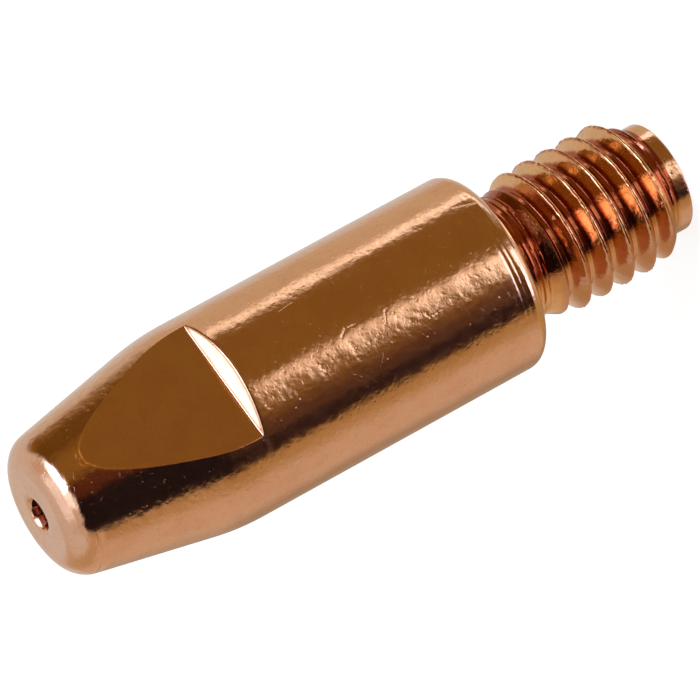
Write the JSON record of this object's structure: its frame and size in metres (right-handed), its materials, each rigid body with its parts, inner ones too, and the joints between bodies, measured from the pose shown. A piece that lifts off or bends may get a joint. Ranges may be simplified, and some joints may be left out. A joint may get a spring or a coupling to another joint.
{
  "type": "welding contact tip",
  "caption": "Tapered copper contact tip for a MIG torch, with two spanner flats, a shoulder, a short M6 thread and a central wire bore.",
  "frame": {"origin": "centre of the rear face of the thread end, on the axis of the wire bore", "axes": "+Z along the wire bore from the thread end to the nose, +Y and -Y square to the two spanner flats"},
  "size_m": [0.008, 0.008, 0.028],
  "materials": {
    "copper": "bright turned copper with fine pits and faint turning lines"
  },
  "bodies": {
    "root": {"contact_tip": "copper"}
  },
  "joints": []
}
